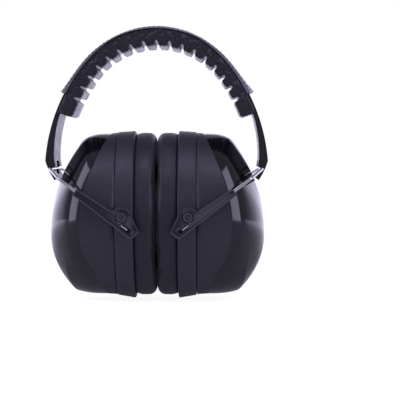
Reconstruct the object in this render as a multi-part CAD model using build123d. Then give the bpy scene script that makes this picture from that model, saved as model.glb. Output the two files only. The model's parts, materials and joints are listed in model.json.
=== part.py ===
from build123d import *
import os
from math import cos, degrees, radians, sin

os.makedirs("parts", exist_ok=True)

# Frame, in millimetres: +X to the right, +Y to the rear, +Z up. The origin is on the ground, midway
# between the two closed cups. Only the right side is drawn; the left side is its mirror image.

# --- driving dimensions: headband
CROWN_R = 61.3  # outer face of the strap over the crown
CROWN_Z = 115.2  # height of the crown arc's centre
ARM_R = 116.0  # outer face of the strap down each side, tangent to the crown arc
JOIN_ANGLE = 37.5  # angle above horizontal where the two arcs meet
STRAP_T = 2.5  # strap thickness over the crown
STRAP_W = 38.0
COVER_W = 46.0
COVER_TOP_Z = 180.0
COVER_CROWN_R = 62.5
COVER_END_ANGLE = 27.0  # where the padded cover stops, on the side arc
CUSHION_W = 45.0
CUSHION_TIP_R = 50.0  # over the crown; the side arc's tips continue it
CUSHION_END_ANGLE = 20.6
TOOTH_PITCH = 8.05
NOTCH_W = 2.2
NOTCH_DEPTH = 3.4
NOTCHES_A_SIDE = 8
SKIN_GAP = 0.05  # between surfaces that lie against each other

# --- driving dimensions: yoke and arms
HINGE_X = 68.0
HINGE_Z = 85.8
YOKE_ANGLE = 37.0  # the wire's plane below horizontal at rest
WIRE_R = 1.1
WIRE_RUN_FIT = 0.05  # radial play of the wire in its clip and sleeves
WIRE_STRAIGHT_HALF = 28.0
WIRE_LEG_Y = 46.5
WIRE_CHAMFER_A = 9.5
WIRE_END_A = 64.0
WIRE_BEND_R = 3.0
ARM_MOUTH_A = 22.5
ARM_INNER_Y = 43.7
ARM_OUTER_Y = 48.9
SLEEVE_INNER_Y = 44.4
PIVOT_A = 55.8
PIVOT_B = 4.2
BOSS_R = 6.5
ARM_TIP_A = 70.6

# --- driving dimensions: cups
RING_IN = 14.0  # where the ring meets the ear cushion, from the centre plane
RING_OUT = 26.0  # where the ring meets the shell
RING_WALL = 2.6
SHELL_WALL = 2.5
CUSHION_FACE = 0.35  # half the gap between the closed cushions
PIVOT_X = 20.9
PIVOT_Z = 55.6
PIN_R = 2.0
PIN_FIT = 0.05
BUTTON_R = 3.0
BUTTON_GROOVE_R = 3.55
BUTTON_SEAT_Y = 47.2
WASHER_R = 3.2
WASHER_Y = 39.0

# Cup sections, square to X: distance out, lowest Z, highest Z, half width in Y
RING_SECTIONS = [(RING_IN, 0.0, 110.6, 43.4), (RING_OUT, 2.0, 109.8, 42.9)]
SHELL_SECTIONS = [
    (RING_OUT + 0.1, 2.3, 109.5, 42.7),
    (47.0, 3.3, 106.6, 41.3),
    (51.5, 4.8, 103.0, 38.9),
    (56.9, 9.2, 93.8, 34.3),
    (62.0, 15.6, 83.0, 28.6),
    (66.2, 23.3, 69.8, 20.5),
    (69.3, 32.0, 56.6, 10.5),
    (70.8, 42.5, 46.5, 2.0),
]
FOAM_SECTIONS = [
    (20.6, 6.2, 105.4, 37.2),
    (45.5, 7.2, 101.5, 37.0),
    (54.0, 13.0, 89.5, 30.8),
    (59.0, 19.5, 78.5, 25.0),
]

ARM_CX = -(ARM_R - CROWN_R) * cos(radians(JOIN_ANGLE))
ARM_CZ = CROWN_Z - (ARM_R - CROWN_R) * sin(radians(JOIN_ANGLE))
ARM_TIP_R = ARM_R - CROWN_R + CUSHION_TIP_R
BORE_R = WIRE_R + WIRE_RUN_FIT


def on_crown(radius, angle):
    """A point over the crown at an angle above horizontal, on the right"""
    return (radius * cos(radians(angle)), CROWN_Z + radius * sin(radians(angle)))


def on_arm(radius, angle):
    """A point beside the right arm at an angle above horizontal"""
    return (ARM_CX + radius * cos(radians(angle)), ARM_CZ + radius * sin(radians(angle)))


def with_mirror(half):
    return half + mirror(half, about=Plane.YZ)


def across(face, width, middle=0.0):
    """Extrude a sketch in the XZ plane along Y, width in all, about a middle Y"""
    plane = Plane(origin=(0, middle, 0), x_dir=(1, 0, 0), z_dir=(0, -1, 0))
    return extrude(plane * face, width / 2, both=True)


def slab(out_from, out_to, half_y, half_z, middle_z):
    """An elliptical slab square to X"""
    plane = Plane(origin=(out_from, 0, middle_z), x_dir=(0, 1, 0), z_dir=(1, 0, 0))
    return extrude(plane * Ellipse(half_y, half_z), out_to - out_from)


def shaft_y(radius, x, z, y_from, y_to):
    """A cylinder along Y"""
    low, high = sorted((y_from, y_to))
    plane = Plane(origin=(x, low, z), x_dir=(1, 0, 0), z_dir=(0, 1, 0))
    return extrude(plane * Circle(radius), high - low)


def lofted(sections, inset=0.0):
    """A ruled loft through elliptical sections square to X, drawn in by an inset"""
    faces = []
    for out, low, high, half_y in sections:
        plane = Plane(origin=(out, 0, (low + high) / 2), x_dir=(0, 1, 0), z_dir=(1, 0, 0))
        faces.append(plane * Ellipse(max(half_y - inset, 0.5), max((high - low) / 2 - inset, 0.5)))
    return loft(faces, ruled=True)


def both_sides(name, right):
    """Write a right-hand piece and its mirror image"""
    write("right_" + name, right)
    write("left_" + name, mirror(right, about=Plane.YZ))


def write(name, shape):
    export_step(shape, f"parts/{name}.step")


# --- headband strap

KNEE = on_arm(ARM_R, 4.5)  # where the arm turns into its hooked end
HOOK_MID = (70.4, 85.8)
TAIL_OUT = (66.3, 78.4)
TAIL_IN = (64.3, 79.8)
LIP = (66.4, 84.0)
JAW_LOW = (65.6, 87.2)
JAW_TOP = (66.5, 92.0)
ARM_IN_MID = (63.7, 117.0)


def strap_half_lines():
    """The strap's right half, outer line first, then the inner line back up to the crown"""
    outer = [
        ThreePointArc((0, CROWN_Z + CROWN_R), on_crown(CROWN_R, 65), on_crown(CROWN_R, JOIN_ANGLE)),
        ThreePointArc(on_arm(ARM_R, JOIN_ANGLE), on_arm(ARM_R, 20), KNEE),
        ThreePointArc(KNEE, HOOK_MID, TAIL_OUT),
    ]
    crown_in = CROWN_R - STRAP_T
    join_in = on_crown(crown_in, JOIN_ANGLE)
    inner = [
        Polyline(TAIL_OUT, TAIL_IN, LIP, JAW_LOW, JAW_TOP),
        ThreePointArc(JAW_TOP, ARM_IN_MID, join_in),
        ThreePointArc(join_in, on_crown(crown_in, 65), (0, CROWN_Z + crown_in)),
    ]
    return outer + inner


def strap_outline():
    crown = Line((0, CROWN_Z + CROWN_R - STRAP_T), (0, CROWN_Z + CROWN_R))
    return with_mirror(make_face(Curve() + strap_half_lines() + [crown]))


def headband_strap():
    groove_w, groove_depth = 3.0, 0.6  # the line that splits the outside of each arm into two panels
    channel_w, channel_depth = 5.0, 0.7  # the shallow channel down the inside of each arm
    outside, bottom = ARM_R + 1, ARM_R - groove_depth
    groove = make_face(
        Curve()
        + [
            ThreePointArc(on_arm(outside, 26), on_arm(outside, 15), on_arm(outside, 5)),
            Line(on_arm(outside, 5), on_arm(bottom, 5)),
            ThreePointArc(on_arm(bottom, 5), on_arm(bottom, 15), on_arm(bottom, 26)),
            Line(on_arm(bottom, 26), on_arm(outside, 26)),
        ]
    )
    channel_end = (ARM_IN_MID[0] - 3.7, 95)
    channel = make_face(
        Polyline(
            (channel_end[0], 115.5),
            (65.4 + channel_depth, 101),
            (65.9 + channel_depth, 95),
            channel_end,
            close=True,
        )
    )
    window = Pos(HINGE_X - 3.0, 0, HINGE_Z + 0.8) * Box(5.0, 14.0, 8.6)
    bore = shaft_y(BORE_R, HINGE_X, HINGE_Z, -STRAP_W, STRAP_W)
    mouth = Pos(HINGE_X, 0, HINGE_Z) * Rot(0, 8, 0) * Pos(-2.5, 0, 0) * Box(5.0, STRAP_W + 2, 1.8)
    cuts = across(groove, groove_w) + across(channel, channel_w) + window + bore + mouth
    return across(strap_outline(), STRAP_W) - cuts - mirror(cuts, about=Plane.YZ)


def headband_cover():
    inner_r = CROWN_R + SKIN_GAP
    arm_in = ARM_R + SKIN_GAP
    crest = COVER_TOP_Z - COVER_CROWN_R
    turn = 42.0  # angle above horizontal where the crowned top ends
    top = (COVER_CROWN_R * cos(radians(turn)), crest + COVER_CROWN_R * sin(radians(turn)))
    top_mid = (COVER_CROWN_R * cos(radians(66)), crest + COVER_CROWN_R * sin(radians(66)))
    end_out = on_arm(ARM_R + 5.0, COVER_END_ANGLE)
    half = make_face(
        Curve()
        + [
            ThreePointArc((0, COVER_TOP_Z), top_mid, top),
            ThreePointArc(top, on_arm(ARM_R + 3.2, 33), end_out),
            Line(end_out, on_arm(arm_in, COVER_END_ANGLE)),
            ThreePointArc(on_arm(arm_in, COVER_END_ANGLE), on_arm(arm_in, 32), on_arm(arm_in, JOIN_ANGLE)),
            ThreePointArc(on_crown(inner_r, JOIN_ANGLE), on_crown(inner_r, 65), (0, CROWN_Z + inner_r)),
            Line((0, CROWN_Z + inner_r), (0, COVER_TOP_Z)),
        ]
    )
    return across(with_mirror(half), COVER_W)


def on_tips(distance):
    """A point on the right-hand line of the tooth tips and its angle, a distance from the crown's middle"""
    over_crown = radians(90 - JOIN_ANGLE) * CUSHION_TIP_R
    if distance <= over_crown:
        angle = 90 - degrees(distance / CUSHION_TIP_R)
        return on_crown(CUSHION_TIP_R, angle), angle
    angle = JOIN_ANGLE - degrees((distance - over_crown) / ARM_TIP_R)
    return on_arm(ARM_TIP_R, angle), angle


def headband_cushion():
    """Its back line is drawn inside the strap's thickness, and the strap is then cut away from it"""
    crown_back, arm_back = CROWN_R - STRAP_T / 2, ARM_R - STRAP_T / 2
    top_back, top_tip = (0, CROWN_Z + crown_back), (0, CROWN_Z + CUSHION_TIP_R)
    end_back, end_tip = on_arm(arm_back, CUSHION_END_ANGLE), on_arm(ARM_TIP_R, CUSHION_END_ANGLE)
    profile = make_face(
        Curve()
        + [
            ThreePointArc(top_back, on_crown(crown_back, 65), on_crown(crown_back, JOIN_ANGLE)),
            ThreePointArc(on_arm(arm_back, JOIN_ANGLE), on_arm(arm_back, 29), end_back),
            Line(end_back, end_tip),
            ThreePointArc(end_tip, on_arm(ARM_TIP_R, 29), on_arm(ARM_TIP_R, JOIN_ANGLE)),
            ThreePointArc(on_crown(CUSHION_TIP_R, JOIN_ANGLE), on_crown(CUSHION_TIP_R, 65), top_tip),
            Line(top_tip, top_back),
        ]
    )
    for count in range(NOTCHES_A_SIDE + 1):
        point, angle = on_tips(count * TOOTH_PITCH)
        profile -= Pos(*point) * Rot(0, 0, angle) * SlotOverall(2 * NOTCH_DEPTH, NOTCH_W)
    return across(with_mirror(profile) - offset(strap_outline(), SKIN_GAP), CUSHION_W)


# --- wire yoke and its two arms, drawn flat and tilted into the yoke's plane: A runs from the hinge
# --- towards the cup, B stands square to the wire's plane

YOKE_PLANE = Plane(
    origin=(HINGE_X, 0, HINGE_Z),
    x_dir=(-cos(radians(YOKE_ANGLE)), 0, -sin(radians(YOKE_ANGLE))),
    z_dir=(sin(radians(YOKE_ANGLE)), 0, -cos(radians(YOKE_ANGLE))),
)


def yoke_wire():
    path = FilletPolyline(
        (WIRE_END_A, -WIRE_LEG_Y),
        (WIRE_CHAMFER_A, -WIRE_LEG_Y),
        (0, -WIRE_STRAIGHT_HALF),
        (0, WIRE_STRAIGHT_HALF),
        (WIRE_CHAMFER_A, WIRE_LEG_Y),
        (WIRE_END_A, WIRE_LEG_Y),
        radius=WIRE_BEND_R,
    )
    path = YOKE_PLANE * path
    return sweep(Plane(origin=path @ 0, z_dir=path % 0) * Circle(WIRE_R), path=path)


ARM_PLANE = Plane(
    origin=(HINGE_X, 0, HINGE_Z),
    x_dir=(-cos(radians(YOKE_ANGLE)), 0, -sin(radians(YOKE_ANGLE))),
    z_dir=(0, 1, 0),
)


def across_arm(face, y_from, y_to):
    """Extrude a sketch in A and B between two distances behind the centre plane"""
    return extrude(ARM_PLANE.offset(y_from) * face, y_to - y_from)


def rear_arm():
    """A sleeve on the wire's rear leg, with the pivot boss, the button's well and a window"""
    lower_edge, upper_edge = -3.0, 2.0  # of the sleeve, either side of the wire
    blade = make_face(
        Polyline(
            (ARM_MOUTH_A, lower_edge),
            (ARM_TIP_A - 1.8, lower_edge - 0.5),
            (ARM_TIP_A, PIVOT_B - 0.8),
            (PIVOT_A + 5.0, PIVOT_B + 4.2),
            (PIVOT_A - 5.9, PIVOT_B + 2.4),
            (PIVOT_A - 7.8, PIVOT_B - 0.6),
            (ARM_MOUTH_A, upper_edge),
            close=True,
        )
    )
    blade = fillet(blade.vertices().sort_by(Axis.X)[-2:], 1.0)
    boss = Pos(PIVOT_A, PIVOT_B) * Circle(BOSS_R)
    solid = across_arm(blade + boss, SLEEVE_INNER_Y, ARM_OUTER_Y)
    solid += across_arm(boss, ARM_INNER_Y, SLEEVE_INNER_Y + 0.5)
    hole_start = ARM_PLANE.from_local_coords((ARM_MOUTH_A - 1, 0, WIRE_LEG_Y))
    hole_plane = Plane(origin=hole_start, z_dir=ARM_PLANE.x_dir)
    wire_hole = extrude(hole_plane * Circle(BORE_R), WIRE_END_A - ARM_MOUTH_A + 2.5)
    pivot_hole = shaft_y(PIN_R + PIN_FIT, PIVOT_X, PIVOT_Z, ARM_INNER_Y - 1, ARM_OUTER_Y)
    button_well = shaft_y(BUTTON_GROOVE_R, PIVOT_X, PIVOT_Z, BUTTON_SEAT_Y, ARM_OUTER_Y + 1)
    window = across_arm(Pos(WIRE_END_A - 1.7, 0) * SlotOverall(8.0, 2.4), WIRE_LEG_Y + 0.3, ARM_OUTER_Y + 1)
    return solid - wire_hole - pivot_hole - button_well - window


# --- cup pieces

def front_and_rear(rear):
    return Compound([rear, mirror(rear, about=Plane.XZ)])


def pivot_pins():
    shank = shaft_y(PIN_R, PIVOT_X, PIVOT_Z, WASHER_Y - 0.5, BUTTON_SEAT_Y + 0.4)
    button = shaft_y(BUTTON_R, PIVOT_X, PIVOT_Z, BUTTON_SEAT_Y + 0.2, ARM_OUTER_Y - 0.1)
    return front_and_rear(shank + button)


def pin_washers():
    disc = shaft_y(WASHER_R, PIVOT_X, PIVOT_Z, WASHER_Y, WASHER_Y + 1.0)
    return front_and_rear(disc - shaft_y(PIN_R, PIVOT_X, PIVOT_Z, WASHER_Y - 1, WASHER_Y + 2))


def cup_ring():
    """The rim band, with an inner flange that the cushion's carrier plate snaps against"""
    longer = [(out + shift, *rest) for (out, *rest), shift in zip(RING_SECTIONS, (-1, 1))]
    ring = lofted(RING_SECTIONS) - lofted(longer, RING_WALL)
    flange = slab(16.0, 17.6, 41.5, 53.4, PIVOT_Z) - slab(15, 19, 38.2, 50.1, PIVOT_Z)
    bore = shaft_y(PIN_R + PIN_FIT, PIVOT_X, PIVOT_Z, -50, 50)
    return ring + (flange & lofted(RING_SECTIONS, 1.0)) - bore


def cup_shell():
    cavity = [(out - SHELL_WALL, *rest) for out, *rest in SHELL_SECTIONS]
    return lofted(SHELL_SECTIONS) - lofted(cavity, SHELL_WALL)


def cushion_plate():
    return slab(13.8, 15.8, 40.5, 52.4, 55.4) - slab(13, 17, 23.0, 33.0, 55.6)


def ear_cushion():
    body = slab(CUSHION_FACE, RING_IN - 0.25, 41.6, 52.9, 55.8)
    opening = slab(-1, RING_IN + 1, 20.0, 30.0, 55.8)
    body = fillet(body.edges().group_by(Axis.X)[0], 5.0)
    ring = body - opening
    inner_edge = [e for e in ring.edges().group_by(Axis.X)[0] if e.length < 200]
    return fillet(inner_edge, 3.0)


def foam_liner():
    return slab(17.8, 20.0, 37.6, 49.4, 55.6)


def acoustic_foam():
    return lofted(FOAM_SECTIONS)


write("headband_strap", headband_strap())
write("headband_cover", headband_cover())
write("headband_cushion", headband_cushion())
both_sides("yoke_wire", yoke_wire())
both_sides("rear_arm", rear_arm())
both_sides("front_arm", mirror(rear_arm(), about=Plane.XZ))
both_sides("pivot_pins", pivot_pins())
both_sides("pin_washers", pin_washers())
both_sides("cup_ring", cup_ring())
both_sides("cup_shell", cup_shell())
both_sides("cushion_plate", cushion_plate())
both_sides("ear_cushion", ear_cushion())
both_sides("foam_liner", foam_liner())
both_sides("acoustic_foam", acoustic_foam())
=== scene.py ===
import json
import math
import random

import bmesh
import bpy
import numpy as np
from mathutils import Matrix, Vector, noise


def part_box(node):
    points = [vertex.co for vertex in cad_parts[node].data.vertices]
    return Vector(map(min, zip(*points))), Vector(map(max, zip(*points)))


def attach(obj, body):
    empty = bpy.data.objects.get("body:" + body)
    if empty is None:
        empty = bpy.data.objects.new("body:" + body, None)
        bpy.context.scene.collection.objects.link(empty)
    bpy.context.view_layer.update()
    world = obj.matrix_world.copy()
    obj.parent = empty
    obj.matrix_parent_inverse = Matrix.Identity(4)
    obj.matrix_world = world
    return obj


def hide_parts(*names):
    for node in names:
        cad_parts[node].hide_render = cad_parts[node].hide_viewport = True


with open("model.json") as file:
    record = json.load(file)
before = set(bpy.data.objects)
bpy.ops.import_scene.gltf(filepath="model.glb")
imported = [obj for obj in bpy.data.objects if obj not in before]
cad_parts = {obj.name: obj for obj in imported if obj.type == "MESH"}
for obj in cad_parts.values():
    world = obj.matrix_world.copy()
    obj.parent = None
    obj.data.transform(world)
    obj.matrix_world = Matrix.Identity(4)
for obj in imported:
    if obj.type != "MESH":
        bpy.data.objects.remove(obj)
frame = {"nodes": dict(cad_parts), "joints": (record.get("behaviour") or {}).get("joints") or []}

MM = 0.001
random.seed(7)
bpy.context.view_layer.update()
SIDES = {"right": 1, "left": -1}

# --------------------------------------------------------------------------- sizes, in millimetres


def node_box(node):
    """A CAD node's lowest and highest corners, in millimetres"""
    low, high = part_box(node)
    return np.array(low) / MM, np.array(high) / MM


def joint(name):
    return next(j for j in frame["joints"] if j["name"] == name)


RING_LOW, RING_HIGH = node_box("right_cup_ring")
SHELL_LOW, SHELL_HIGH = node_box("right_cup_shell")
CUSHION_LOW, CUSHION_HIGH = node_box("right_ear_cushion")
COVER_HIGH = node_box("headband_cover")[1]
BAND_HIGH = node_box("headband_cushion")[1]
HINGE = np.array(joint("right_yoke_swing")["pos_m"]) / MM
PIVOT = np.array(joint("right_cup_turn")["pos_m"]) / MM
SLIDE_AXIS = np.array(joint("right_arm_slide")["axis"], float)

# Headband: a crown arc and a flatter arc down each side, tangent to it
CROWN_R, CROWN_Z = 61.3, 115.2
ARM_R = 116.0
JOIN_ANGLE = 37.5
COVER_END_ANGLE = 27.0  # on the side arc
CUSHION_END_ANGLE = 20.6
CUSHION_TIP_R = 50.0  # over the crown
ARM_CX = -(ARM_R - CROWN_R) * math.cos(math.radians(JOIN_ANGLE))
ARM_CZ = CROWN_Z - (ARM_R - CROWN_R) * math.sin(math.radians(JOIN_ANGLE))

# Yoke wire and arms, along the wire (A) and square to it (B)
WIRE_R = 1.1
WIRE_LEG_Y = 46.5
WIRE_CHAMFER_A = 9.5
WIRE_STRAIGHT_HALF = 28.0
WIRE_END_A = 64.0
WIRE_BEND_R = 3.0
ARM_MOUTH_A = 22.5
PIVOT_A, PIVOT_B = 55.8, 4.2
BOSS_R = 6.5
ARM_TIP_A = 70.6
ARM_OUTER_Y = 48.9
ARM_INNER_Y = 43.7
SLEEVE_INNER_Y = 44.4
BORE_PLAY = 0.08
RIM_WIDTH = 1.0  # the raised rim round the arm's recessed face
RECESS_DEPTH = 0.8
WELL_R, WELL_FLOOR_Y = 3.95, 47.0  # the round well the button sits in
PIN_HOLE_R, HOLE_FROM_Y = 2.05, 40.0  # the cut starts clear of the boss
WINDOW_A = (58.6, 66.4)  # the slot that shows the end of the wire
WINDOW_HALF = 1.35

# --------------------------------------------------------------------------- mesh helpers


def mesh_object(name, points, faces, side=1):
    """A smooth-shaded mesh object from points in millimetres; side -1 mirrors it across the centre plane"""
    points = np.array(points, float) * MM
    faces = [list(f) for f in faces]
    if side < 0:
        points[:, 0] *= -1
        faces = [f[::-1] for f in faces]
    mesh = bpy.data.meshes.new(name)
    mesh.from_pydata(points.tolist(), [], faces)
    mesh.validate()
    for polygon in mesh.polygons:
        polygon.use_smooth = True
    obj = bpy.data.objects.new(name, mesh)
    bpy.context.collection.objects.link(obj)
    return obj


def grid_faces(rows, cols, close_cols=True, close_rows=False, first=0):
    """Quads of a grid of points stored row by row"""
    faces = []
    for r in range(rows if close_rows else rows - 1):
        for c in range(cols if close_cols else cols - 1):
            n, m = (r + 1) % rows, (c + 1) % cols
            quad = [r * cols + c, r * cols + m, n * cols + m, n * cols + c]
            faces.append([first + k for k in quad])
    return faces


def end_caps(rows, cols, first=0):
    """The two faces that close a grid's first and last rows"""
    last = first + (rows - 1) * cols
    return [list(range(first, first + cols))[::-1], list(range(last, last + cols))]


CLOTH_FRAMES = 20


def inflate(obj, held, pressure, cap, shrink=0.0):
    """Puff a soft skin by cloth simulation: held points stay, others move at most a cap in millimetres"""
    rest = np.array([v.co for v in obj.data.vertices])
    group = obj.vertex_groups.new(name="held")
    group.add([k for k, point in enumerate(rest / MM) if held(point)], 1.0, "REPLACE")
    cloth = obj.modifiers.new("cloth", "CLOTH")
    cloth.settings.quality = 8
    cloth.settings.mass = 0.15
    cloth.settings.use_pressure = True
    cloth.settings.uniform_pressure_force = pressure
    cloth.settings.effector_weights.gravity = 0
    cloth.settings.vertex_group_mass = "held"
    cloth.settings.tension_stiffness = cloth.settings.compression_stiffness = 25
    cloth.settings.bending_stiffness = 0.4
    cloth.settings.shrink_min = shrink
    cloth.collision_settings.use_collision = False
    cloth.point_cache.frame_start, cloth.point_cache.frame_end = 1, CLOTH_FRAMES
    for number in range(1, CLOTH_FRAMES + 1):
        bpy.context.scene.frame_set(number)
    evaluated = obj.evaluated_get(bpy.context.evaluated_depsgraph_get())
    moved = np.array([v.co for v in evaluated.data.vertices]) - rest
    obj.modifiers.clear()
    obj.vertex_groups.clear()
    bpy.context.scene.frame_set(1)
    length = np.linalg.norm(moved, axis=1)[:, None] + 1e-12
    limit = cap * MM
    moved *= limit * np.tanh(length / limit) / length
    for vertex, place_now in zip(obj.data.vertices, rest + moved):
        vertex.co = place_now
    obj.data.update()
    return obj


def apply_modifiers(obj):
    """Turn an object's modifiers into its mesh"""
    bpy.context.view_layer.update()
    evaluated = obj.evaluated_get(bpy.context.evaluated_depsgraph_get())
    mesh = bpy.data.meshes.new_from_object(evaluated)
    obj.modifiers.clear()
    obj.data = mesh
    return obj


def outward(obj):
    """Point every face of a closed mesh outward"""
    mesh = bmesh.new()
    mesh.from_mesh(obj.data)
    bmesh.ops.recalc_face_normals(mesh, faces=mesh.faces)
    mesh.to_mesh(obj.data)
    mesh.free()
    return obj


def closed_loops(name, loops, side=1):
    """A closed solid through loops of points, with a flat face on the first and last"""
    points = [point for loop in loops for point in loop]
    faces = grid_faces(len(loops), len(loops[0])) + end_caps(len(loops), len(loops[0]))
    return outward(mesh_object(name, points, faces, side))


def soft_edges(obj, width, segments=3, angle=30):
    """Round a hard-edged solid's edges, then shade it smooth between them"""
    bevel = obj.modifiers.new("bevel", "BEVEL")
    bevel.width = width * MM
    bevel.segments = segments
    bevel.limit_method = "ANGLE"
    bevel.angle_limit = math.radians(angle)
    bevel.harden_normals = True
    weighted = obj.modifiers.new("weighted", "WEIGHTED_NORMAL")
    weighted.keep_sharp = True
    return apply_modifiers(obj)


def combine(obj, other, operation):
    """Subtract another solid or join it on, and remove that other object"""
    boolean = obj.modifiers.new("boolean", "BOOLEAN")
    boolean.operation = operation
    boolean.solver = "EXACT"
    boolean.object = other
    apply_modifiers(obj)
    bpy.data.objects.remove(other)
    return obj


def cut(obj, cutter):
    return combine(obj, cutter, "DIFFERENCE")


def through(values, places, at):
    """A smooth curve through given values: cubic pieces with the slopes of their neighbours"""
    values, places = np.array(values, float), np.array(places, float)
    slopes = np.gradient(values, places)
    at = np.clip(np.array(at, float), places[0], places[-1])
    k = np.clip(np.searchsorted(places, at) - 1, 0, len(places) - 2)
    width = places[k + 1] - places[k]
    t = (at - places[k]) / width
    return (
        (2 * t**3 - 3 * t**2 + 1) * values[k]
        + (t**3 - 2 * t**2 + t) * width * slopes[k]
        + (3 * t**2 - 2 * t**3) * values[k + 1]
        + (t**3 - t**2) * width * slopes[k + 1]
    )


# --------------------------------------------------------------------------- materials


RANGE_SOCKETS = ("From Min", "From Max", "To Min", "To Max")
WHITE = (1, 1, 1)


class Shader:
    """A Principled material with object-space textures for colour, roughness and relief"""

    def __init__(self, name, colour, roughness, **sockets):
        self.material = bpy.data.materials.new(name)
        self.material.use_nodes = True
        self.tree = self.material.node_tree
        self.principled = self.tree.nodes["Principled BSDF"]
        self.principled.inputs["Base Color"].default_value = (*colour, 1)
        self.principled.inputs["Roughness"].default_value = roughness
        for socket, value in sockets.items():
            self.principled.inputs[socket.replace("_", " ")].default_value = value
        self.coords = self.node("ShaderNodeTexCoord").outputs["Object"]
        self.relief = None

    def node(self, kind, **inputs):
        node = self.tree.nodes.new(kind)
        for key, value in inputs.items():
            socket = node.inputs[key.replace("_", " ")]
            if hasattr(value, "node"):
                self.tree.links.new(value, socket)
            else:
                socket.default_value = value
        return node

    def stretched(self, scale):
        """Object coordinates scaled differently along each axis"""
        mapping = self.node("ShaderNodeMapping", Vector=self.coords)
        mapping.inputs["Scale"].default_value = scale
        return mapping.outputs["Vector"]

    def noise(self, scale, detail=4.0, roughness=0.55, vector=None):
        node = self.node("ShaderNodeTexNoise", Scale=scale, Detail=detail, Roughness=roughness)
        self.tree.links.new(vector or self.coords, node.inputs["Vector"])
        return node.outputs["Fac"]

    def voronoi(self, scale, vector=None):
        node = self.node("ShaderNodeTexVoronoi", Scale=scale)
        self.tree.links.new(vector or self.coords, node.inputs["Vector"])
        return node.outputs["Distance"]

    def ranged(self, value, low, high, new_low, new_high):
        node = self.node("ShaderNodeMapRange", Value=value)
        for socket, number in zip(RANGE_SOCKETS, (low, high, new_low, new_high)):
            node.inputs[socket].default_value = number
        return node.outputs["Result"]

    def blend(self, factor, first, second, target):
        """Drive a colour socket with a mix of two colours; either may be a colour or another node's output"""
        mix = self.node("ShaderNodeMix")
        mix.data_type = "RGBA"
        self.tree.links.new(factor, mix.inputs[0])
        for socket, colour in ((mix.inputs[6], first), (mix.inputs[7], second)):
            if hasattr(colour, "node"):
                self.tree.links.new(colour, socket)
            else:
                socket.default_value = (*colour, 1)
        self.tree.links.new(mix.outputs[2], self.principled.inputs[target])
        return self

    def colours(self, value, dark, light):
        """Vary the base colour between two colours"""
        return self.blend(value, dark, light, "Base Color")

    def painted_edge_highlight(self, colour, low=0.505, high=0.56):
        """Lighten the convex edges towards a colour: a painted highlight along rims and edges"""
        convex = self.ranged(self.node("ShaderNodeNewGeometry").outputs["Pointiness"], low, high, 0.0, 1.0)
        unhighlighted = self.principled.inputs["Base Color"].links[0].from_socket
        return self.blend(convex, unhighlighted, colour, "Base Color")

    def roughness(self, value, low, high):
        self.tree.links.new(self.ranged(value, 0.3, 0.7, low, high), self.principled.inputs["Roughness"])
        return self

    def bump(self, height, depth, strength=1.0):
        """Add relief of a depth in millimetres on top of what is there"""
        node = self.node("ShaderNodeBump", Height=height, Distance=depth * MM, Strength=strength)
        if self.relief:
            self.tree.links.new(self.relief, node.inputs["Normal"])
        self.relief = node.outputs["Normal"]
        self.tree.links.new(self.relief, self.principled.inputs["Normal"])
        return self


def satin_plastic(name, base, roughness, grain=0.02, edge_highlight=None):
    """Moulded plastic with a fine spark-eroded texture and, where a colour is given, a painted highlight on
    its convex edges
    """
    s = Shader(name, base, roughness)
    s.colours(s.noise(45.0, 3.0), base, [c * 1.35 for c in base])
    # Painted highlight: convex edges lightened towards the given colour
    if edge_highlight:
        s.painted_edge_highlight(edge_highlight)
    s.roughness(s.noise(160.0, 4.0), roughness - 0.06, roughness + 0.08)
    s.bump(s.noise(2600.0, 2.0), grain)
    s.bump(s.noise(60.0, 2.0), 0.05, 0.35)
    return s.material


def gloss_plastic(name, base, roughness):
    """Polished plastic with faint moulding waviness and fine handling marks"""
    s = Shader(name, base, roughness, Coat_Weight=0.35, Coat_Roughness=0.03)
    s.colours(s.noise(30.0, 2.0), base, [c * 1.25 for c in base])
    s.roughness(s.noise(220.0, 6.0, 0.7), roughness - 0.02, roughness + 0.05)
    s.bump(s.noise(38.0, 1.0), 0.05, 0.5)
    s.bump(s.noise(900.0, 3.0, vector=s.stretched((1.0, 1.0, 0.15))), 0.002, 0.6)
    return s.material


def leather(name, base, roughness, grain=900.0, depth=0.05, creases=None):
    """Soft coated fabric with a pebbled grain and shallow creases"""
    s = Shader(name, base, roughness, Sheen_Weight=0.12, Sheen_Roughness=0.4)
    s.colours(s.noise(70.0, 5.0, 0.65), base, [c * 1.6 for c in base])
    s.roughness(s.noise(140.0, 5.0), roughness - 0.07, roughness + 0.10)
    s.bump(s.voronoi(grain), depth, 0.7)
    s.bump(s.noise(grain * 2.2, 3.0), depth * 0.4, 0.6)
    if creases:
        s.bump(s.noise(1.0, 5.0, 0.7, vector=s.stretched(creases)), 0.35, 0.5)
    return s.material


def polished_wire(name):
    """Drawn stainless wire: bright, with lengthwise die lines"""
    s = Shader(name, (0.66, 0.66, 0.67), 0.16, Metallic=1.0)
    s.colours(s.noise(120.0, 4.0), (0.58, 0.58, 0.60), (0.74, 0.74, 0.75))
    s.roughness(s.noise(500.0, 4.0), 0.10, 0.24)
    s.bump(s.noise(1500.0, 2.0), 0.006, 0.5)
    return s.material


def brushed_metal(name):
    s = Shader(name, (0.55, 0.55, 0.56), 0.35, Metallic=1.0)
    s.colours(s.noise(300.0, 4.0), (0.48, 0.48, 0.50), (0.62, 0.62, 0.63))
    s.roughness(s.noise(800.0, 4.0), 0.28, 0.42)
    s.bump(s.noise(1.0, 2.0, vector=s.stretched((3000.0, 200.0, 200.0))), 0.01, 0.6)
    return s.material


def open_foam(name, base):
    """Open-cell foam"""
    s = Shader(name, base, 0.95)
    s.colours(s.voronoi(700.0), [c * 0.4 for c in base], [c * 1.5 for c in base])
    s.roughness(s.noise(400.0), 0.88, 1.0)
    s.bump(s.voronoi(700.0), 0.5, 0.8)
    s.bump(s.noise(120.0, 4.0), 0.4, 0.6)
    return s.material


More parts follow.
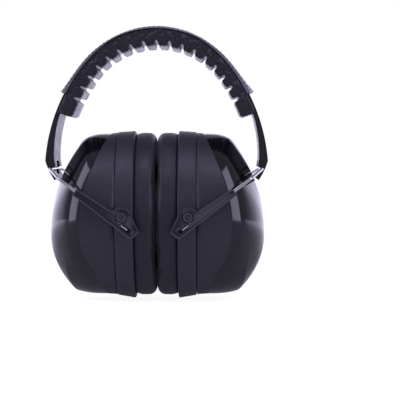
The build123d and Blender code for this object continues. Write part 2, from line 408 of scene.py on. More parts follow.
def knitted_cloth(name, base):
    """Thin knitted mesh laminated on foam"""
    s = Shader(name, base, 0.85, Sheen_Weight=0.25, Sheen_Roughness=0.5)
    weave = s.voronoi(620.0, vector=s.stretched((1.0, 1.0, 0.8)))
    s.colours(weave, [c * 0.35 for c in base], [c * 1.6 for c in base])
    s.roughness(s.noise(300.0), 0.78, 0.95)
    s.bump(weave, 0.25, 0.9)
    return s.material


SHELL_GLOSS = gloss_plastic("shell_gloss", (0.0060, 0.0055, 0.0085), 0.09)
SHELL_SATIN = satin_plastic("shell_satin", (0.036, 0.034, 0.046), 0.42)
RING_SATIN = satin_plastic("ring_satin", (0.038, 0.036, 0.049), 0.42)
STRAP_SATIN = satin_plastic("strap_satin", (0.012, 0.0115, 0.0155), 0.36)
# The last colour given to the arm and pin plastics is a painted highlight on their convex edges
ARM_SATIN = satin_plastic("arm_satin", (0.014, 0.0135, 0.019), 0.27, 0.012, edge_highlight=(0.085, 0.08, 0.10))
PIN_SATIN = satin_plastic("pin_satin", (0.030, 0.028, 0.037), 0.30, edge_highlight=(0.10, 0.095, 0.12))
PLATE_SATIN = satin_plastic("plate_satin", (0.016, 0.015, 0.020), 0.50)
CUSHION_LEATHER = leather("ear_cushion_leather", (0.021, 0.020, 0.029), 0.45, 1100.0, 0.03)
# The cover leather's pale grey base colour is painted light, standing in for the light its curved top catches
COVER_LEATHER_PAINTED_LIGHT = leather("cover_leather", (0.15, 0.142, 0.172), 0.40, 950.0, 0.05)
BAND_LEATHER = leather("band_leather", (0.016, 0.015, 0.021), 0.34, 950.0, 0.05, creases=(260.0, 30.0, 260.0))
THREAD = leather("seam_thread", (0.045, 0.042, 0.055), 0.6, 2500.0, 0.03)
WIRE_STEEL = polished_wire("wire_steel")
WASHER_STEEL = brushed_metal("washer_steel")
FOAM = open_foam("acoustic_foam", (0.05, 0.05, 0.055))
LINER = knitted_cloth("liner_cloth", (0.03, 0.03, 0.034))


def node_object(node):
    """A CAD node's own object"""
    obj = frame["nodes"][node]
    return bpy.data.objects[obj] if isinstance(obj, str) else obj


def dress(node, material):
    """Give a CAD node that stays visible its material"""
    obj = node_object(node)
    obj.data.materials.clear()
    obj.data.materials.append(material)


def place(obj, body, slot, material, *nodes):
    """Finish a new piece: its material, the body it rides on, and the CAD nodes it stands for, which it
    hides; the slot argument is not used
    """
    if not obj.data.materials:
        obj.data.materials.append(material)
    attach(obj, body)
    if nodes:
        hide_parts(*nodes)
    return obj


# --------------------------------------------------------------------------- cup shell

COLUMNS = 160
TURN = np.linspace(0, 2 * math.pi, COLUMNS, endpoint=False)
RISE = np.sin(TURN)  # 1 at the top of the cup, -1 at the bottom
REACH = np.cos(TURN)  # 1 at the rear, -1 at the front


def oval(half_y, low, high, out):
    """A closed curve round the cup, as points for each column"""
    out = np.broadcast_to(out, RISE.shape)
    return np.stack([out, half_y * REACH, (low + high) / 2 + (high - low) / 2 * RISE], axis=1)


def shell_curves():
    """The rim, the edge of the satin skirt and the edge of the outer panel, each a curve round the cup"""
    rim = oval(42.6, SHELL_LOW[2] + 0.1, SHELL_HIGH[2] - 0.1, SHELL_LOW[0] + 0.05)
    skirt_out = through(
        [33.3, 34.6, 38.4, 45.2, 47.8, 48.1, 46.6, 43.2, 38.8, 35.0, 32.0, 30.0],
        [-1, -0.93, -0.72, -0.49, -0.3, 0.0, 0.2, 0.45, 0.66, 0.83, 0.94, 1],
        RISE,
    )
    skirt = oval(41.5, 2.9, 109.0, skirt_out)
    panel_out = through(
        [53.5, 56.7, 58.8, 60.5, 61.0, 60.3, 57.6, 54.0, 50.0, 49.2],
        [-1, -0.85, -0.6, -0.38, -0.15, 0.05, 0.35, 0.57, 0.82, 1],
        RISE,
    )
    panel = oval(30.5, 5.2, 105.2, panel_out)
    return rim, skirt, panel


def shell_profile(rim, skirt, panel, rise):
    """One dense line of points from the rim to the middle of the outer panel, and where its two edges lie"""
    steps = np.linspace(0, 1, 90)[:, None]
    first = rim + (skirt - rim) * steps
    bulge = np.array([1.0, np.sign(skirt[1]) * 0.9 * min(abs(skirt[1]) / 30, 1), 0.8 * rise])
    swell = 1.1 + 0.9 * max(rise, 0) ** 2
    second = skirt + (panel - skirt) * steps + np.sin(math.pi * steps) * swell * bulge * [0.9, 1, 0.8]
    apex = np.array([SHELL_HIGH[0] - 0.05, 0.0, 45.0])
    power = 2.03 + 0.3 * max(-rise, 0)
    remaining = 1 - steps
    third = apex + (panel - apex) * remaining
    third[:, 0] = (panel[0] + (apex[0] - panel[0]) * (1 - remaining**power))[:, 0]
    line = np.concatenate([first[:-1], second[:-1], third])
    lengths = np.concatenate([[0], np.cumsum(np.linalg.norm(np.diff(line, axis=0), axis=1))])
    return line, lengths, lengths[89], lengths[178]


def rounded(line, lengths, at, window):
    """Points of a line with its corners averaged over a window either side"""
    total = lengths[-1]
    running = np.concatenate(
        [np.zeros((1, 3)), np.cumsum((line[1:] + line[:-1]) / 2 * np.diff(lengths)[:, None], axis=0)]
    )
    reach = np.minimum(window, np.minimum(at, total - at)) + 1e-4
    low, high = np.clip(at - reach, 0, total), np.clip(at + reach, 0, total)

    def integral(place):
        return np.stack([np.interp(place, lengths, running[:, k]) for k in range(3)], axis=1)

    return (integral(high) - integral(low)) / (high - low)[:, None]


def shell_rows(edge_one, edge_two, total):
    """Where the rows of the mesh cross a profile: evenly, and closer together at its two edges"""
    near = np.array([0.0, 0.35, 0.7, 1.1, 1.7, 2.6])

    def section(start, end, count, at_start, at_end):
        length = end - start
        tight = min(1.0, length / 9.0)
        head = start + near * tight if at_start else np.array([start])
        tail = (end - near * tight)[::-1] if at_end else np.array([end])
        return np.concatenate([head, np.linspace(head[-1], tail[0], count + 2)[1:-1], tail[:-1]])

    return np.concatenate(
        [
            section(0, edge_one, 5, False, True),
            section(edge_one, edge_two, 9, True, True),
            section(edge_two, total * 0.995, 22, True, False),
            [total * 0.995],
        ]
    )


SKIRT_ROWS = 11  # rows of faces before the edge of the satin skirt
EDGE_WINDOW = 0.55
SHELL_WALL = 2.2


def cup_shell(side_name, side):
    rim, skirt, panel = shell_curves()
    columns = []
    for c in range(COLUMNS):
        line, lengths, one, two = shell_profile(rim[c], skirt[c], panel[c], RISE[c])
        window = EDGE_WINDOW + 2.4 * max(RISE[c], 0) ** 3 + 1.1 * max(-RISE[c], 0) ** 3
        at = shell_rows(one, two, lengths[-1])
        wide = np.where(at > (one + two) / 2, window, EDGE_WINDOW)
        columns.append(rounded(line, lengths, at, wide))
    grid = np.array(columns).transpose(1, 0, 2)  # row, column, xyz
    rows = len(grid)
    points = grid.reshape(-1, 3).tolist()
    points.append(grid[-1].mean(axis=0).tolist())
    faces = grid_faces(rows, COLUMNS)
    last, tip = (rows - 1) * COLUMNS, len(points) - 1
    faces += [[last + c, last + (c + 1) % COLUMNS, tip] for c in range(COLUMNS)]
    obj = mesh_object(f"{side_name}_shell", points, faces, side)
    obj.data.materials.append(SHELL_GLOSS)
    obj.data.materials.append(SHELL_SATIN)
    for polygon in obj.data.polygons[:SKIRT_ROWS * COLUMNS]:
        polygon.material_index = 1
    outward(obj)
    wall = obj.modifiers.new("wall", "SOLIDIFY")
    wall.thickness = SHELL_WALL * MM
    wall.offset = -1
    apply_modifiers(obj)
    return place(obj, f"{side_name}_cup", "shell_plastic", SHELL_GLOSS, f"{side_name}_cup_shell")


# --------------------------------------------------------------------------- ring and ear cushion


def cup_ring(side_name, side):
    """The rim band: its closed cross-section carried round the oval"""
    near, far = RING_LOW[0], RING_HIGH[0]
    section = [
        (near + 0.05, -2.4), (near + 0.02, -1.5), (near + 0.12, -0.85), (near + 0.4, -0.35),
        (near + 0.85, -0.05), (near + 1.4, 0.06), (near + 2.1, 0.0), (near + 4.0, 0.0), (near + 6.5, 0.03),
        (near + 9.0, 0.0), (far - 1.0, -0.02), (far - 0.5, -0.08), (far - 0.2, -0.3), (far - 0.1, -0.8),
        (far - 0.1, -2.4), (far - 0.4, -2.6), (near + 0.4, -2.6),
    ]
    rows = []
    for out, lift in section:
        along = (out - near) / (far - near)
        half_y = 43.35 - 0.5 * along + lift
        low, high = 2.0 * along - lift, RING_HIGH[2] - 0.8 * along + lift
        rows.append(oval(half_y, low, high, out))
    points = np.concatenate(rows)
    obj = mesh_object(f"{side_name}_ring", points, grid_faces(len(rows), COLUMNS, close_rows=True), side)
    outward(obj)
    return place(obj, f"{side_name}_cup", "ring_plastic", RING_SATIN, f"{side_name}_cup_ring")


def keep_inside(obj, low, high, side):
    """Press a soft piece flat where it would pass its own space, as it is against its neighbours"""
    for vertex in obj.data.vertices:
        x, y, z = np.array(vertex.co) / MM
        x = side * min(max(side * x, low[0]), high[0])
        vertex.co = np.array([x, min(max(y, low[1] - 0.3), high[1] + 0.3), z]) * MM
    obj.data.update()


def cushion_section(steps=11):
    """The ear cushion's cross-section: distance out, and share of the way from its opening to its edge"""
    face, back = CUSHION_LOW[0], CUSHION_HIGH[0]
    outer_r, inner_r, width = 5.2, 4.0, 22.0
    section = [(back, 1 - 0.02), (back - 1.2, 1.0), (back - 4.0, 1.0), (face + outer_r + 1.5, 1.0)]
    for k in range(1, steps):
        a = math.pi / 2 * k / steps
        section.append((face + outer_r * (1 - math.sin(a)), 1 - outer_r * (1 - math.cos(a)) / width))
    section += [(face, 1 - outer_r / width), (face, 0.62), (face, 0.5), (face, 0.36), (face, inner_r / width)]
    for k in range(1, steps):
        a = math.pi / 2 * k / steps
        section.append((face + inner_r * (1 - math.cos(a)), inner_r * (1 - math.sin(a)) / width))
    section += [(face + inner_r + 1, 0.0), (back - 3.0, 0.0), (back - 0.6, 0.01), (back, 0.03)]
    return section


EAR_OPENING = (20.0, 30.0)  # half width and half height


def ear_cushion(side_name, side):
    middle = (CUSHION_LOW[2] + CUSHION_HIGH[2]) / 2
    outer = (CUSHION_HIGH[1], (CUSHION_HIGH[2] - CUSHION_LOW[2]) / 2)
    rows = []
    for out, share in cushion_section():
        half_y = EAR_OPENING[0] + (outer[0] - EAR_OPENING[0]) * share
        half_z = EAR_OPENING[1] + (outer[1] - EAR_OPENING[1]) * share
        rows.append(oval(half_y, middle - half_z, middle + half_z, out))
    points = np.concatenate(rows)
    obj = mesh_object(f"{side_name}_cushion", points, grid_faces(len(rows), COLUMNS, close_rows=True), side)
    outward(obj)
    seam_x = CUSHION_HIGH[0] - 1.6  # the skin is sewn to its plate outside this
    inflate(obj, lambda point: abs(point[0]) > seam_x, pressure=2.0, cap=0.9, shrink=-0.02)
    keep_inside(obj, CUSHION_LOW, CUSHION_HIGH, side)
    place(obj, f"{side_name}_cup", "ear_cushion_leather", CUSHION_LEATHER, f"{side_name}_ear_cushion")
    return obj


# --------------------------------------------------------------------------- headband path


CROWN_RUN = math.radians(90 - JOIN_ANGLE) * CROWN_R  # the outer line's length from crown to join


def on_crown(radius, angle):
    a = math.radians(angle)
    return np.array([radius * math.cos(a), CROWN_Z + radius * math.sin(a)])


def on_arm(radius, angle):
    a = math.radians(angle)
    return np.array([ARM_CX + radius * math.cos(a), ARM_CZ + radius * math.sin(a)])


def band_station(distance):
    """Point and outward direction on the strap's outer line; a distance is from the crown, right positive"""
    along = abs(distance)
    if along <= CROWN_RUN:
        angle = 90 - math.degrees(along / CROWN_R)
        point = on_crown(CROWN_R, angle)
    else:
        angle = JOIN_ANGLE - math.degrees((along - CROWN_RUN) / ARM_R)
        point = on_arm(ARM_R, angle)
    normal = np.array([math.cos(math.radians(angle)), math.sin(math.radians(angle))])
    flip = np.array([-1.0, 1.0]) if distance < 0 else np.array([1.0, 1.0])
    return point * flip, normal * flip


def band_distance(angle):
    """Distance from the crown to an angle on the right arm's arc"""
    return CROWN_RUN + math.radians(JOIN_ANGLE - angle) * ARM_R


def swept(name, distances, section_at):
    """A closed solid swept along the band; section_at gives (y, height) pairs for a distance"""
    loops = []
    for d in distances:
        (x, z), (nx, nz) = band_station(d)
        loops.append([(x + nx * h, y, z + nz * h) for y, h in section_at(d)])
    return closed_loops(name, loops)


# --------------------------------------------------------------------------- headband cover


COVER_END = band_distance(COVER_END_ANGLE)


def cover_thickness(distance):
    """Padding over the strap: thickest at the crown and at the flared ends"""
    thickness, places = [2.7, 2.3, 1.5, 1.5, 2.4, 3.9], [0, 20, 42, 60, 70, COVER_END]
    return float(through(thickness, places, [abs(distance)])[0])


def cover_stitches():
    """Two rows of thread along the cover's edges, each stitch a short bead that dips in at its ends"""
    end = COVER_END - 1.5
    pitch, half_length, thickness = 3.1, 1.1, 0.26
    sections, around = 7, 6
    across = COVER_HIGH[1] * 0.895
    points, faces = [], []
    for row in (-1, 1):
        for centre in np.arange(-end, end, pitch):
            first = len(points)
            for k in range(sections):
                t = -1 + 2 * k / (sections - 1)
                d = centre + half_length * t
                (x, z), (nx, nz) = band_station(d)
                size = thickness * math.sqrt(max(1 - 0.93 * t * t, 0.02))
                lift = cover_thickness(d) * 0.37 - 0.06 - 0.25 * t**4
                for j in range(around):
                    a = 2 * math.pi * j / around
                    h = lift + size * math.sin(a)
                    points.append((x + nx * h, row * across + size * math.cos(a), z + nz * h))
            faces += grid_faces(sections, around, first=first) + end_caps(sections, around, first)
    obj = outward(mesh_object("cover_stitches", points, faces))
    return place(obj, "headband", "cover_leather", THREAD)


def hem_depth(distance):
    """How far the cover's rolled edge hangs past the strap: nothing over the crown, more down the sides"""
    share = min(max((abs(distance) - 22) / 28, 0), 1)
    return 1.2 * share * share * (3 - 2 * share)


def headband_cover():
    half = COVER_HIGH[1]

    def section(d):
        t = cover_thickness(d)
        pull = 0.35 * noise.noise(Vector((d * 0.11, 3.0, 0.0)))  # the edge wanders a little with the padding
        loop = []
        for k in range(33):
            share = -1 + 2 * k / 32
            crown = 1 - 0.8 * abs(share) ** 2.4
            dimple = 0.28 * math.exp(-(((abs(share) - 0.9) / 0.035) ** 2))  # sewn line near each edge
            ripple = 0.16 * noise.noise(Vector((d * 0.22, share * 2.2, 1.0)))
            loop.append((share * (half - 0.25) + pull * share, t * crown - dimple + ripple * (1 - share**4)))
        for share in (1.0, -1.0):
            edge = half * share + pull * share
            hem = -0.1 - hem_depth(d)
            low = [(edge, t * 0.1), (edge, hem * 0.5), (edge - 0.25 * share, hem)]
            low += [(edge - 1.2 * share, hem - 0.05), (19.6 * share, hem * 0.8), (19.3 * share, 0.06)]
            loop += low if share > 0 else low[::-1]
            if share > 0:
                loop += [(half * 0.5, 0.06), (0, 0.06), (-half * 0.5, 0.06)]
        return loop

    obj = swept("band_cover", np.linspace(-COVER_END, COVER_END, 170), section)
    place(obj, "headband", "cover_leather", COVER_LEATHER_PAINTED_LIGHT, "headband_cover")
    return obj


# --------------------------------------------------------------------------- headband cushion

TOOTH_PITCH = 8.05
NOTCHES_A_SIDE = 8
TIP_DEPTH = CROWN_R - CUSHION_TIP_R
END_ROUNDING = 2.6

# One side of a notch between two teeth: (distance from its middle, fall from the line of the tips)
NOTCH_SIDE = [
    (0.0, 3.7), (0.45, 3.62), (0.85, 3.36), (1.12, 2.95), (1.26, 2.45), (1.28, 1.9), (1.3, 1.35), (1.4, 0.88),
    (1.6, 0.48), (1.9, 0.2), (2.25, 0.06), (2.65, 0.0), (3.1, 0.0), (3.55, 0.0), (4.0, 0.0),
]


def tip_stations(end):
    """(distance along the tips, fall from them) from one end of the cushion to the other"""
    notch = [(-x, fall) for x, fall in NOTCH_SIDE[:0:-1]] + NOTCH_SIDE
    teeth = []
    for n in range(-NOTCHES_A_SIDE, NOTCHES_A_SIDE + 1):
        teeth += [(n * TOOTH_PITCH + x, fall) for x, fall in notch]
    tail = teeth[-1][0]
    shares = (0.15, 0.3, 0.45, 0.6, 0.72, 0.82, 0.89, 0.94, 0.98, 1.0)
    run_out = [(tail + (end - tail) * share, 0.0) for share in shares]
    return [(-x, 0.0) for x, _ in run_out[::-1]] + teeth + run_out


def headband_cushion():
    half = BAND_HIGH[1]
    crown_tips = math.radians(90 - JOIN_ANGLE) * (CROWN_R - TIP_DEPTH)
    arm_tip_r = ARM_R - TIP_DEPTH
    end = crown_tips + math.radians(JOIN_ANGLE - CUSHION_END_ANGLE) * arm_tip_r

    def to_band(tips):
        """The strap distance that lies square above a distance along the tips"""
        along = abs(tips)
        if along <= crown_tips:
            d = along / (CROWN_R - TIP_DEPTH) * CROWN_R
        else:
            d = CROWN_RUN + (along - crown_tips) / arm_tip_r * ARM_R
        return math.copysign(d, tips)

    pleats = [
        (n * TOOTH_PITCH, 0.35 + 0.7 * random.random(), random.uniform(-6, 6), random.uniform(-6, 6))
        for n in range(-NOTCHES_A_SIDE, NOTCHES_A_SIDE + 1)
    ]
    corner = 1.3

    def side_relief(tips, t, h, front):
        """How far the side face stands out: puffed between its seams, pleated above each notch, wrinkled"""
        swell = math.sin(math.pi * t)
        relief = 0.27 * swell - (0.3 if t < 0.15 else 0) - 0.25
        relief += 0.9 * swell * noise.noise(Vector((tips * 0.3 + h * 0.5, h * 0.22, 5.0 + 10 * front)))
        relief += 0.55 * noise.noise(Vector((tips * 0.75 - h * 0.4, h * 0.3, 9.0 + 10 * front)))
        for centre, height, lean_front, lean_back in pleats:
            lean = lean_front if front else lean_back
            off = tips - centre - lean * (t - 0.3)
            if abs(off) < 3:
                relief += height * math.exp(-((off / 0.75) ** 2)) * math.sin(math.pi * min(t * 1.1, 1)) ** 2
        return relief

    def side_rows(tips, depth, top, y_half, front):
        rows = []
        for k in range(1, 12):
            t = k / 12
            h = depth - corner + (top - depth + corner) * t
            rows.append((y_half + side_relief(tips, t, h, front), h))
        return rows

    loops = []
    for tips, fall in tip_stations(end):
        along = to_band(tips)
        (x, z), (nx, nz) = band_station(along)
        to_end = end - abs(tips)
        past = max(END_ROUNDING - to_end, 0)
        round_end = END_ROUNDING - math.sqrt(max(END_ROUNDING**2 - past**2, 0))
        depth = TIP_DEPTH - fall - round_end
        strap = 2.6 + 0.7 * min(max((abs(tips) - 45) / 40, 0), 1)
        top = 0.35 + hem_depth(along)
        y_half = half - 0.5 * round_end
        flat = y_half - 2.6
        face = [(share / 6 * flat, depth + 0.25 * (1 - (share / 6) ** 2)) for share in range(-6, 7)]
        seam = [(flat + 0.45, depth - 0.15), (flat + 0.75, depth - 0.65), (flat + 1.0, depth - 0.1)]
        edge = seam + [
            (y_half - corner + corner * math.sin(a), depth - corner * (1 - math.cos(a)))
            for a in (math.pi / 6, math.pi / 3, math.pi / 2)
        ]
        tuck = [(half - 0.9, top + 0.05), (half - 2.0, top), (19.35, top + 0.1), (19.3, strap)]
        rear = edge + side_rows(tips, depth, top, y_half, False) + tuck
        front = edge + side_rows(tips, depth, top, y_half, True) + tuck
        under = [(9.0, strap), (0.0, strap), (-9.0, strap)]
        loop = face[1:] + rear + under + [(-y, h) for y, h in front[::-1]]
        loops.append([(x - nx * h, y, z - nz * h) for y, h in loop])
    obj = closed_loops("band_cushion", loops)
    place(obj, "headband", "band_cushion", BAND_LEATHER, "headband_cushion")
    return obj


# --------------------------------------------------------------------------- strap


def rounded_copy(name, node, width, segments=2, angle=32):
    """A smooth-edged copy of a CAD node's own shape"""
    obj = bpy.data.objects.new(name, node_object(node).data.copy())
    bpy.context.collection.objects.link(obj)
    obj.data.materials.clear()
    mesh = bmesh.new()
    mesh.from_mesh(obj.data)
    bmesh.ops.remove_doubles(mesh, verts=mesh.verts, dist=1e-6)
    bmesh.ops.dissolve_limit(mesh, angle_limit=math.radians(0.6), verts=mesh.verts, edges=mesh.edges)
    mesh.to_mesh(obj.data)
    mesh.free()
    for polygon in obj.data.polygons:
        polygon.use_smooth = True
    return soft_edges(obj, width, segments, angle)


def headband_strap():
    obj = rounded_copy("band_strap", "headband_strap", 0.35)
    return place(obj, "headband", "strap_plastic", STRAP_SATIN, "headband_strap")


# --------------------------------------------------------------------------- yoke wire


def yoke_point(a, y, b=0.0):
    """A point of the right yoke's plane: a along the legs from the hinge, b square to the plane"""
    up = np.array([SLIDE_AXIS[2], 0, -SLIDE_AXIS[0]])
    return HINGE + SLIDE_AXIS * a + up * b + np.array([0, y, 0])


def unit(vector):
    return vector / np.linalg.norm(vector)


def bent_path(corners, radius, steps=8):
    """A polyline with each corner rounded to an arc"""
    path = [corners[0]]
    for before, corner, after in zip(corners, corners[1:], corners[2:]):
        into, out = unit(corner - before), unit(after - corner)
        turn = math.acos(np.clip(into @ out, -1, 1))
        back = radius * math.tan(turn / 2)
        start, end = corner - into * back, corner + out * back
        middle = corner + (out - into) / np.linalg.norm(out - into) * radius / math.cos(turn / 2)
        for k in range(steps + 1):
            t = k / steps
            arm = (start - middle) * math.sin((1 - t) * turn) + (end - middle) * math.sin(t * turn)
            path.append(middle + arm / math.sin(turn))
    path.append(corners[-1])
    return path


def tube(name, path, radius, side=1, around=20):
    """A round bar along a path, with domed ends"""
    path = np.array(path)
    tangents = np.gradient(path, axis=0)
    tangents /= np.linalg.norm(tangents, axis=1)[:, None]
    normal = np.cross(tangents[0], [0.3, 0.1, 1.0])
    loops = []

    def ring(centre, tangent, size):
        nonlocal normal
        normal = normal - tangent * (normal @ tangent)
        normal /= np.linalg.norm(normal)
        other = np.cross(tangent, normal)
        angles = np.linspace(0, 2 * math.pi, around, endpoint=False)
        loops.append([centre + size * (normal * math.cos(a) + other * math.sin(a)) for a in angles])

    dome = [(0.98, 0.16), (0.75, 0.55), (0.4, 0.85)]  # share of the dome's depth, and of the radius
    for back, size in dome:
        ring(path[0] + tangents[0] * radius * (1 - back) * 0.6, tangents[0], radius * size)
    ring(path[0] + tangents[0] * radius * 0.6, tangents[0], radius)
    for centre, tangent in zip(path[1:-1], tangents[1:-1]):
        ring(centre, tangent, radius)
    ring(path[-1] - tangents[-1] * radius * 0.6, tangents[-1], radius)
    for back, size in dome[::-1]:
        ring(path[-1] - tangents[-1] * radius * (1 - back) * 0.6, tangents[-1], radius * size)
    return closed_loops(name, loops, side)


def yoke_wire(side_name, side):
    corners = [
        yoke_point(WIRE_END_A, -WIRE_LEG_Y), yoke_point(WIRE_CHAMFER_A, -WIRE_LEG_Y),
        yoke_point(0, -WIRE_STRAIGHT_HALF), yoke_point(0, WIRE_STRAIGHT_HALF),
        yoke_point(WIRE_CHAMFER_A, WIRE_LEG_Y), yoke_point(WIRE_END_A, WIRE_LEG_Y),
    ]
    obj = tube(f"{side_name}_wire", bent_path(corners, WIRE_BEND_R), WIRE_R, side)
    return place(obj, f"{side_name}_yoke", "wire_steel", WIRE_STEEL, f"{side_name}_yoke_wire")


# --------------------------------------------------------------------------- arms and pins


def rounded_outline(corners, radius, steps=5):
    """A closed outline in the arm's plane with its corners rounded; radius may be one for each corner"""
    corners = [np.array(c, float) for c in corners]
    radii = radius if isinstance(radius, (list, tuple)) else [radius] * len(corners)
    outline = []
    for k, (corner, r) in enumerate(zip(corners, radii)):
        before, after = corners[k - 1], corners[(k + 1) % len(corners)]
        into, out = unit(corner - before), unit(after - corner)
        turn = math.acos(np.clip(into @ out, -1, 1))
        back = r * math.tan(turn / 2)
        start, end = corner - into * back, corner + out * back
        for j in range(steps + 1):
            t = j / steps
            outline.append((1 - t) ** 2 * start + 2 * t * (1 - t) * corner + t**2 * end)
    return outline


def circle_outline(a, b, radius, count=48):
    return [np.array([a + radius * math.cos(t), b + radius * math.sin(t)])
            for t in np.linspace(0, 2 * math.pi, count, endpoint=False)]


def arm_slab(name, outline, y_from, y_to, side, end):
    """An outline in the arm's plane made solid between two distances from the centre; end -1 is the front"""
    count = len(outline)
    points = [yoke_point(a, end * y, b) for y in (y_from, y_to) for a, b in outline]
    faces = [[k, (k + 1) % count, count + (k + 1) % count, count + k] for k in range(count)]
    faces += [list(range(count))[::-1], [count + k for k in range(count)]]
    return outward(mesh_object(name, points, faces, side))


def arm_outline(inset=0.0):
    """Sleeve, boss and tip in one outline, drawn in by an inset for the recess in its face"""
    lower = -3.0 + inset
    centre = np.array([PIVOT_A, PIVOT_B])
    angles = np.radians(np.arange(42, 155, 8))
    boss = [centre + (BOSS_R - inset) * np.array([math.cos(a), math.sin(a)]) for a in angles]
    corners = [
        (ARM_MOUTH_A + inset, lower), (ARM_TIP_A - 1.8 - inset, lower - 0.5),
        (ARM_TIP_A - 1.2 * inset, PIVOT_B - 0.8),
        *boss, (PIVOT_A - 7.0, PIVOT_B - 0.5 - inset), (ARM_MOUTH_A + inset, 2.0 - inset),
    ]
    radii = [0.5, 1.8, 1.6] + [0.4] * len(boss) + [2.5, 0.5]
    return rounded_outline(corners, radii)


def sliding_arm(side_name, side, end_name, end):
    """Sleeve on the wire's leg, boss round the pin, recessed face, and a window on the wire's end"""
    past = ARM_OUTER_Y + 1

    def slab(name, outline, y_from, y_to):
        return arm_slab(name, outline, y_from, y_to, side, end)

    def disc(name, radius, y_from, y_to):
        return slab(name, circle_outline(PIVOT_A, PIVOT_B, radius), y_from, y_to)

    obj = slab(f"{side_name}_{end_name}_sleeve", arm_outline(), SLEEVE_INNER_Y, ARM_OUTER_Y)
    combine(obj, disc("boss", BOSS_R - 0.02, ARM_INNER_Y, ARM_OUTER_Y - 0.05), "UNION")
    cut(obj, slab("panel", arm_outline(RIM_WIDTH), ARM_OUTER_Y - RECESS_DEPTH, past))
    cut(obj, disc("well", WELL_R, WELL_FLOOR_Y, past))
    cut(obj, disc("hole", PIN_HOLE_R, HOLE_FROM_Y, past))
    near, far = WINDOW_A
    corners = [(near, -WINDOW_HALF), (far, -WINDOW_HALF), (far, WINDOW_HALF), (near, WINDOW_HALF)]
    cut(obj, slab("window", rounded_outline(corners, 1.25), WIRE_LEG_Y + 0.2, past))
    bore_path = [yoke_point(a, end * WIRE_LEG_Y) for a in np.linspace(ARM_MOUTH_A - 2, WIRE_END_A + 1.5, 6)]
    cut(obj, tube("bore", bore_path, WIRE_R + BORE_PLAY, side))
    soft_edges(obj, 0.22, 3, 35)
    return place(obj, f"{side_name}_arms", "arm_plastic", ARM_SATIN, f"{side_name}_{end_name}_arm")


def turned(name, profile, side, end, around=48):
    """A turned part about the pivot: profile gives (radius, distance from the centre plane)"""
    angles = [2 * math.pi * k / around for k in range(around)]
    loops = [
        [(PIVOT[0] + radius * math.cos(t), end * y, PIVOT[2] + radius * math.sin(t)) for t in angles]
        for radius, y in profile
    ]
    return closed_loops(name, loops, side)


def pivot_pins(side_name, side):
    """Both pins of a cup: shank, and a button with a dished face"""
    profile = [
        (0.4, 38.5), (1.6, 38.5), (1.95, 38.8), (1.98, 39.5), (1.98, 47.3), (2.1, 47.4), (2.85, 47.4),
        (3.0, 47.55), (3.0, 48.3), (2.92, 48.6), (2.7, 48.78), (2.4, 48.8), (2.2, 48.72), (2.05, 48.5),
        (1.9, 48.42), (1.1, 48.46), (0.35, 48.5), (0.05, 48.5),
    ]
    pins = [turned(f"{side_name}_pins", profile, side, end) for end in (-1, 1)]
    bm = bmesh.new()
    for pin in pins:
        bm.from_mesh(pin.data)
    bm.to_mesh(pins[0].data)
    bm.free()
    bpy.data.objects.remove(pins[1])
    return place(pins[0], f"{side_name}_cup", "pin_plastic", PIN_SATIN, f"{side_name}_pivot_pins")


# --------------------------------------------------------------------------- soft liner inside the cup


def foam_liner(side_name, side):
    """Thin foam disc with a laminated face, slightly pillowed, seen through the ear opening"""
    low, high = node_box("right_foam_liner")
    middle = (low[2] + high[2]) / 2
    half_y, half_z = high[1], (high[2] - low[2]) / 2
    rings = [0.03, 0.12, 0.24, 0.36, 0.48, 0.6, 0.72, 0.83, 0.92, 0.97, 1.0]
    rows = []

    def ring(share, out):
        return oval(half_y * share, middle - half_z * share, middle + half_z * share, out)

    for share in rings:
        lift = 0.35 * (1 - share**2) + 0.25 * math.cos(share * 9.0) * (1 - share)
        rows.append(ring(share, low[0] + 0.45 - lift))
    for share in rings[::-1]:
        rows.append(ring(share, high[0]))
    obj = closed_loops(f"{side_name}_liner", rows, side)
    place(obj, f"{side_name}_cup", "liner_cloth", LINER, f"{side_name}_foam_liner")
    return obj


# --------------------------------------------------------------------------- build everything

headband_strap()
headband_cover()
cover_stitches()
headband_cushion()
for side_name, side in SIDES.items():
    yoke_wire(side_name, side)
    for end_name, end in (("front", -1), ("rear", 1)):
        sliding_arm(side_name, side, end_name, end)
    pivot_pins(side_name, side)
    cup_shell(side_name, side)
    cup_ring(side_name, side)
    ear_cushion(side_name, side)
    foam_liner(side_name, side)
    dress(f"{side_name}_cushion_plate", PLATE_SATIN)
    dress(f"{side_name}_pin_washers", WASHER_STEEL)
    dress(f"{side_name}_acoustic_foam", FOAM)

# --------------------------------------------------------------------------- camera, floor and light

LENS, SENSOR = 122.22, 36.0  # millimetres
CAM_DISTANCE = 0.90
CAM_AZIMUTH = math.radians(2.45)
CAM_HEIGHT = 0.100
AIM_LEFT = math.radians(0.668)
AIM_DOWN = math.radians(2.24)

camera = bpy.data.objects.new("camera", bpy.data.cameras.new("camera"))
bpy.context.collection.objects.link(camera)
camera.data.sensor_width = SENSOR
camera.data.lens = LENS
camera.location = (CAM_DISTANCE * math.sin(CAM_AZIMUTH), -CAM_DISTANCE * math.cos(CAM_AZIMUTH), CAM_HEIGHT)
forward = Vector((-math.sin(AIM_LEFT), math.cos(AIM_LEFT), -math.tan(AIM_DOWN)))
camera.rotation_euler = forward.to_track_quat("-Z", "Y").to_euler()
camera.data.clip_start, camera.data.clip_end = 0.01, 100.0
bpy.context.scene.camera = camera


LIGHT_TINT = (0.94, 0.91, 1.17)
FLOOR_HALF, FLOOR_DROP = 6.0, 0.0003
FLOOR_SEEN = 0.88  # what the camera sees of the floor; the light it gives is dimmer near the object
AMBIENT = 0.26


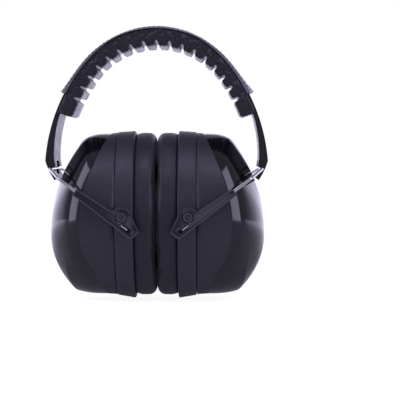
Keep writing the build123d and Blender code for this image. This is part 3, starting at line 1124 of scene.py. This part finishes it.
def floor():
    """A pale studio floor"""
    mesh = bpy.data.meshes.new("floor")
    signs = ((-1, -1), (1, -1), (1, 1), (-1, 1))
    mesh.from_pydata([(x * FLOOR_HALF, y * FLOOR_HALF, 0) for x, y in signs], [], [(0, 1, 2, 3)])
    obj = bpy.data.objects.new("floor", mesh)
    bpy.context.collection.objects.link(obj)
    s = Shader("floor_paper", (0.45, 0.45, 0.45), 0.9, Specular_IOR_Level=0.1)
    split = s.node("ShaderNodeSeparateXYZ", Vector=s.coords)
    far = s.ranged(split.outputs["Y"], 0.05, 0.8, 0.14, 1.3)  # dim under the object, bright far behind it
    path = s.node("ShaderNodeLightPath")
    glow = s.node("ShaderNodeMix", Factor=path.outputs["Is Camera Ray"], A=far, B=FLOOR_SEEN)
    s.tree.links.new(glow.outputs[0], s.principled.inputs["Emission Strength"])
    s.blend(path.outputs["Is Camera Ray"], LIGHT_TINT, WHITE, "Emission Color")
    obj.data.materials.append(s.material)
    obj.location.z = -FLOOR_DROP


def softbox(name, location, target, size, radiance):
    """A rectangular light whose face is equally bright all over"""
    light = bpy.data.lights.new(name, "AREA")
    light.shape = "RECTANGLE"
    light.size, light.size_y = size
    light.energy = radiance * math.pi * size[0] * size[1]
    light.color = LIGHT_TINT
    obj = bpy.data.objects.new(name, light)
    bpy.context.collection.objects.link(obj)
    obj.location = location
    obj.rotation_euler = (Vector(target) - Vector(location)).to_track_quat("-Z", "Y").to_euler()


def studio_world():
    """White where the camera looks past the object; the light on it is a pale backdrop, and dim elsewhere"""
    world = bpy.data.worlds.new("studio")
    bpy.context.scene.world = world
    world.use_nodes = True
    tree = world.node_tree
    tree.nodes.clear()
    output = tree.nodes.new("ShaderNodeOutputWorld")
    coords = tree.nodes.new("ShaderNodeTexCoord")
    split = tree.nodes.new("ShaderNodeSeparateXYZ")
    tree.links.new(coords.outputs["Generated"], split.inputs[0])

    def smooth(socket, numbers):
        node = tree.nodes.new("ShaderNodeMapRange")
        node.interpolation_type = "SMOOTHSTEP"
        for name, number in zip(RANGE_SOCKETS, numbers):
            node.inputs[name].default_value = number
        tree.links.new(split.outputs[socket], node.inputs["Value"])
        return node.outputs["Result"]

    behind = smooth("Y", (0.3, 0.85, 0.0, 1.2))
    low = smooth("Z", (0.25, 0.6, 1.0, 0.05))
    backdrop = tree.nodes.new("ShaderNodeMath")
    backdrop.operation = "MULTIPLY_ADD"
    tree.links.new(behind, backdrop.inputs[0])
    tree.links.new(low, backdrop.inputs[1])
    backdrop.inputs[2].default_value = AMBIENT
    around = tree.nodes.new("ShaderNodeBackground")
    tree.links.new(backdrop.outputs[0], around.inputs["Strength"])
    around.inputs["Color"].default_value = (*LIGHT_TINT, 1)
    seen = tree.nodes.new("ShaderNodeBackground")
    seen.inputs["Color"].default_value = (*WHITE, 1)
    path = tree.nodes.new("ShaderNodeLightPath")
    mix = tree.nodes.new("ShaderNodeMixShader")
    tree.links.new(path.outputs["Is Camera Ray"], mix.inputs[0])
    tree.links.new(around.outputs[0], mix.inputs[1])
    tree.links.new(seen.outputs[0], mix.inputs[2])
    tree.links.new(mix.outputs[0], output.inputs["Surface"])


floor()
studio_world()
softbox("key_left", (-1.05, -0.32, 0.78), (0, 0, 0.78), (0.42, 1.56), 2.2)
softbox("key_right", (0.99, -0.48, 0.78), (0, 0, 0.78), (0.38, 1.56), 2.2)
softbox("overhead", (0, -0.6, 1.1), (0, 0, 0.1), (0.6, 0.22), 4.0)

bpy.context.scene.view_settings.view_transform = "Standard"
bpy.context.scene.view_settings.look = "None"
